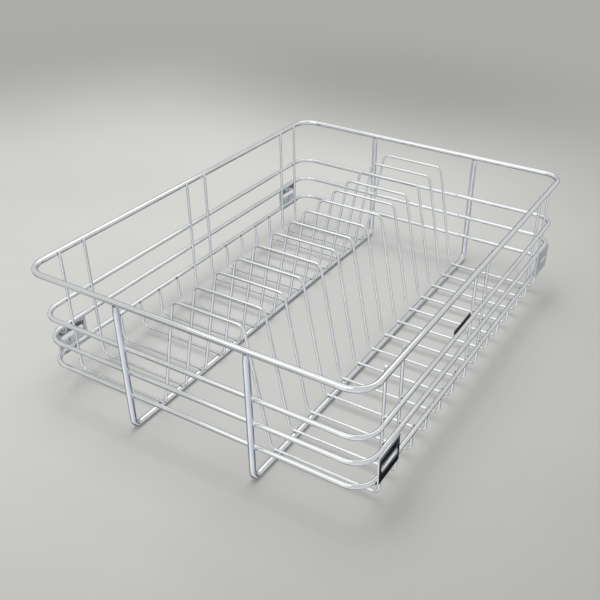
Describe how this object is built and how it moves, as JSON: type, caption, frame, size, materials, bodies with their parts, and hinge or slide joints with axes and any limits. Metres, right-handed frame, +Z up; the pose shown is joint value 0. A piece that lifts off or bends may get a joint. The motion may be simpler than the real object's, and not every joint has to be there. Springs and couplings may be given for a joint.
{
  "type": "pull-out cabinet basket",
  "caption": "Welded chrome wire basket for a base cabinet, with a row of bent-wire plate dividers, two floor runners and slotted side brackets for its slides.",
  "frame": {"origin": "on the surface the basket stands on, under the middle of the basket", "axes": "+Z up, +Y to the back of the cabinet along the basket's length, +X to the right"},
  "size_m": [0.382, 0.5086, 0.1524],
  "materials": {
    "rim_and_ring_wire": "bright chrome plate on steel wire",
    "runner_wire": "bright chrome plate on steel wire",
    "cross_wire": "bright chrome plate on steel wire",
    "bracket_sheet": "bright chrome plate on pressed steel sheet",
    "strip_plastic": "plain matt black film strip"
  },
  "bodies": {
    "root": {"top_rim": "rim_and_ring_wire", "upper_side_ring": "rim_and_ring_wire", "middle_side_ring": "rim_and_ring_wire", "lower_side_ring": "rim_and_ring_wire", "left_runner": "runner_wire", "right_runner": "runner_wire", "cross_wire_01": "cross_wire", "cross_wire_02": "cross_wire", "cross_wire_03": "cross_wire", "cross_wire_04": "cross_wire", "cross_wire_05": "cross_wire", "cross_wire_06": "cross_wire", "cross_wire_07": "cross_wire", "cross_wire_08": "cross_wire", "cross_wire_09": "cross_wire", "cross_wire_10": "cross_wire", "cross_wire_11": "cross_wire", "cross_wire_12": "cross_wire", "cross_wire_13": "cross_wire", "cross_wire_14": "cross_wire", "front_left_bracket": "bracket_sheet", "front_right_bracket": "bracket_sheet", "back_left_bracket": "bracket_sheet", "back_right_bracket": "bracket_sheet", "label_strip": "strip_plastic"}
  },
  "joints": []
}
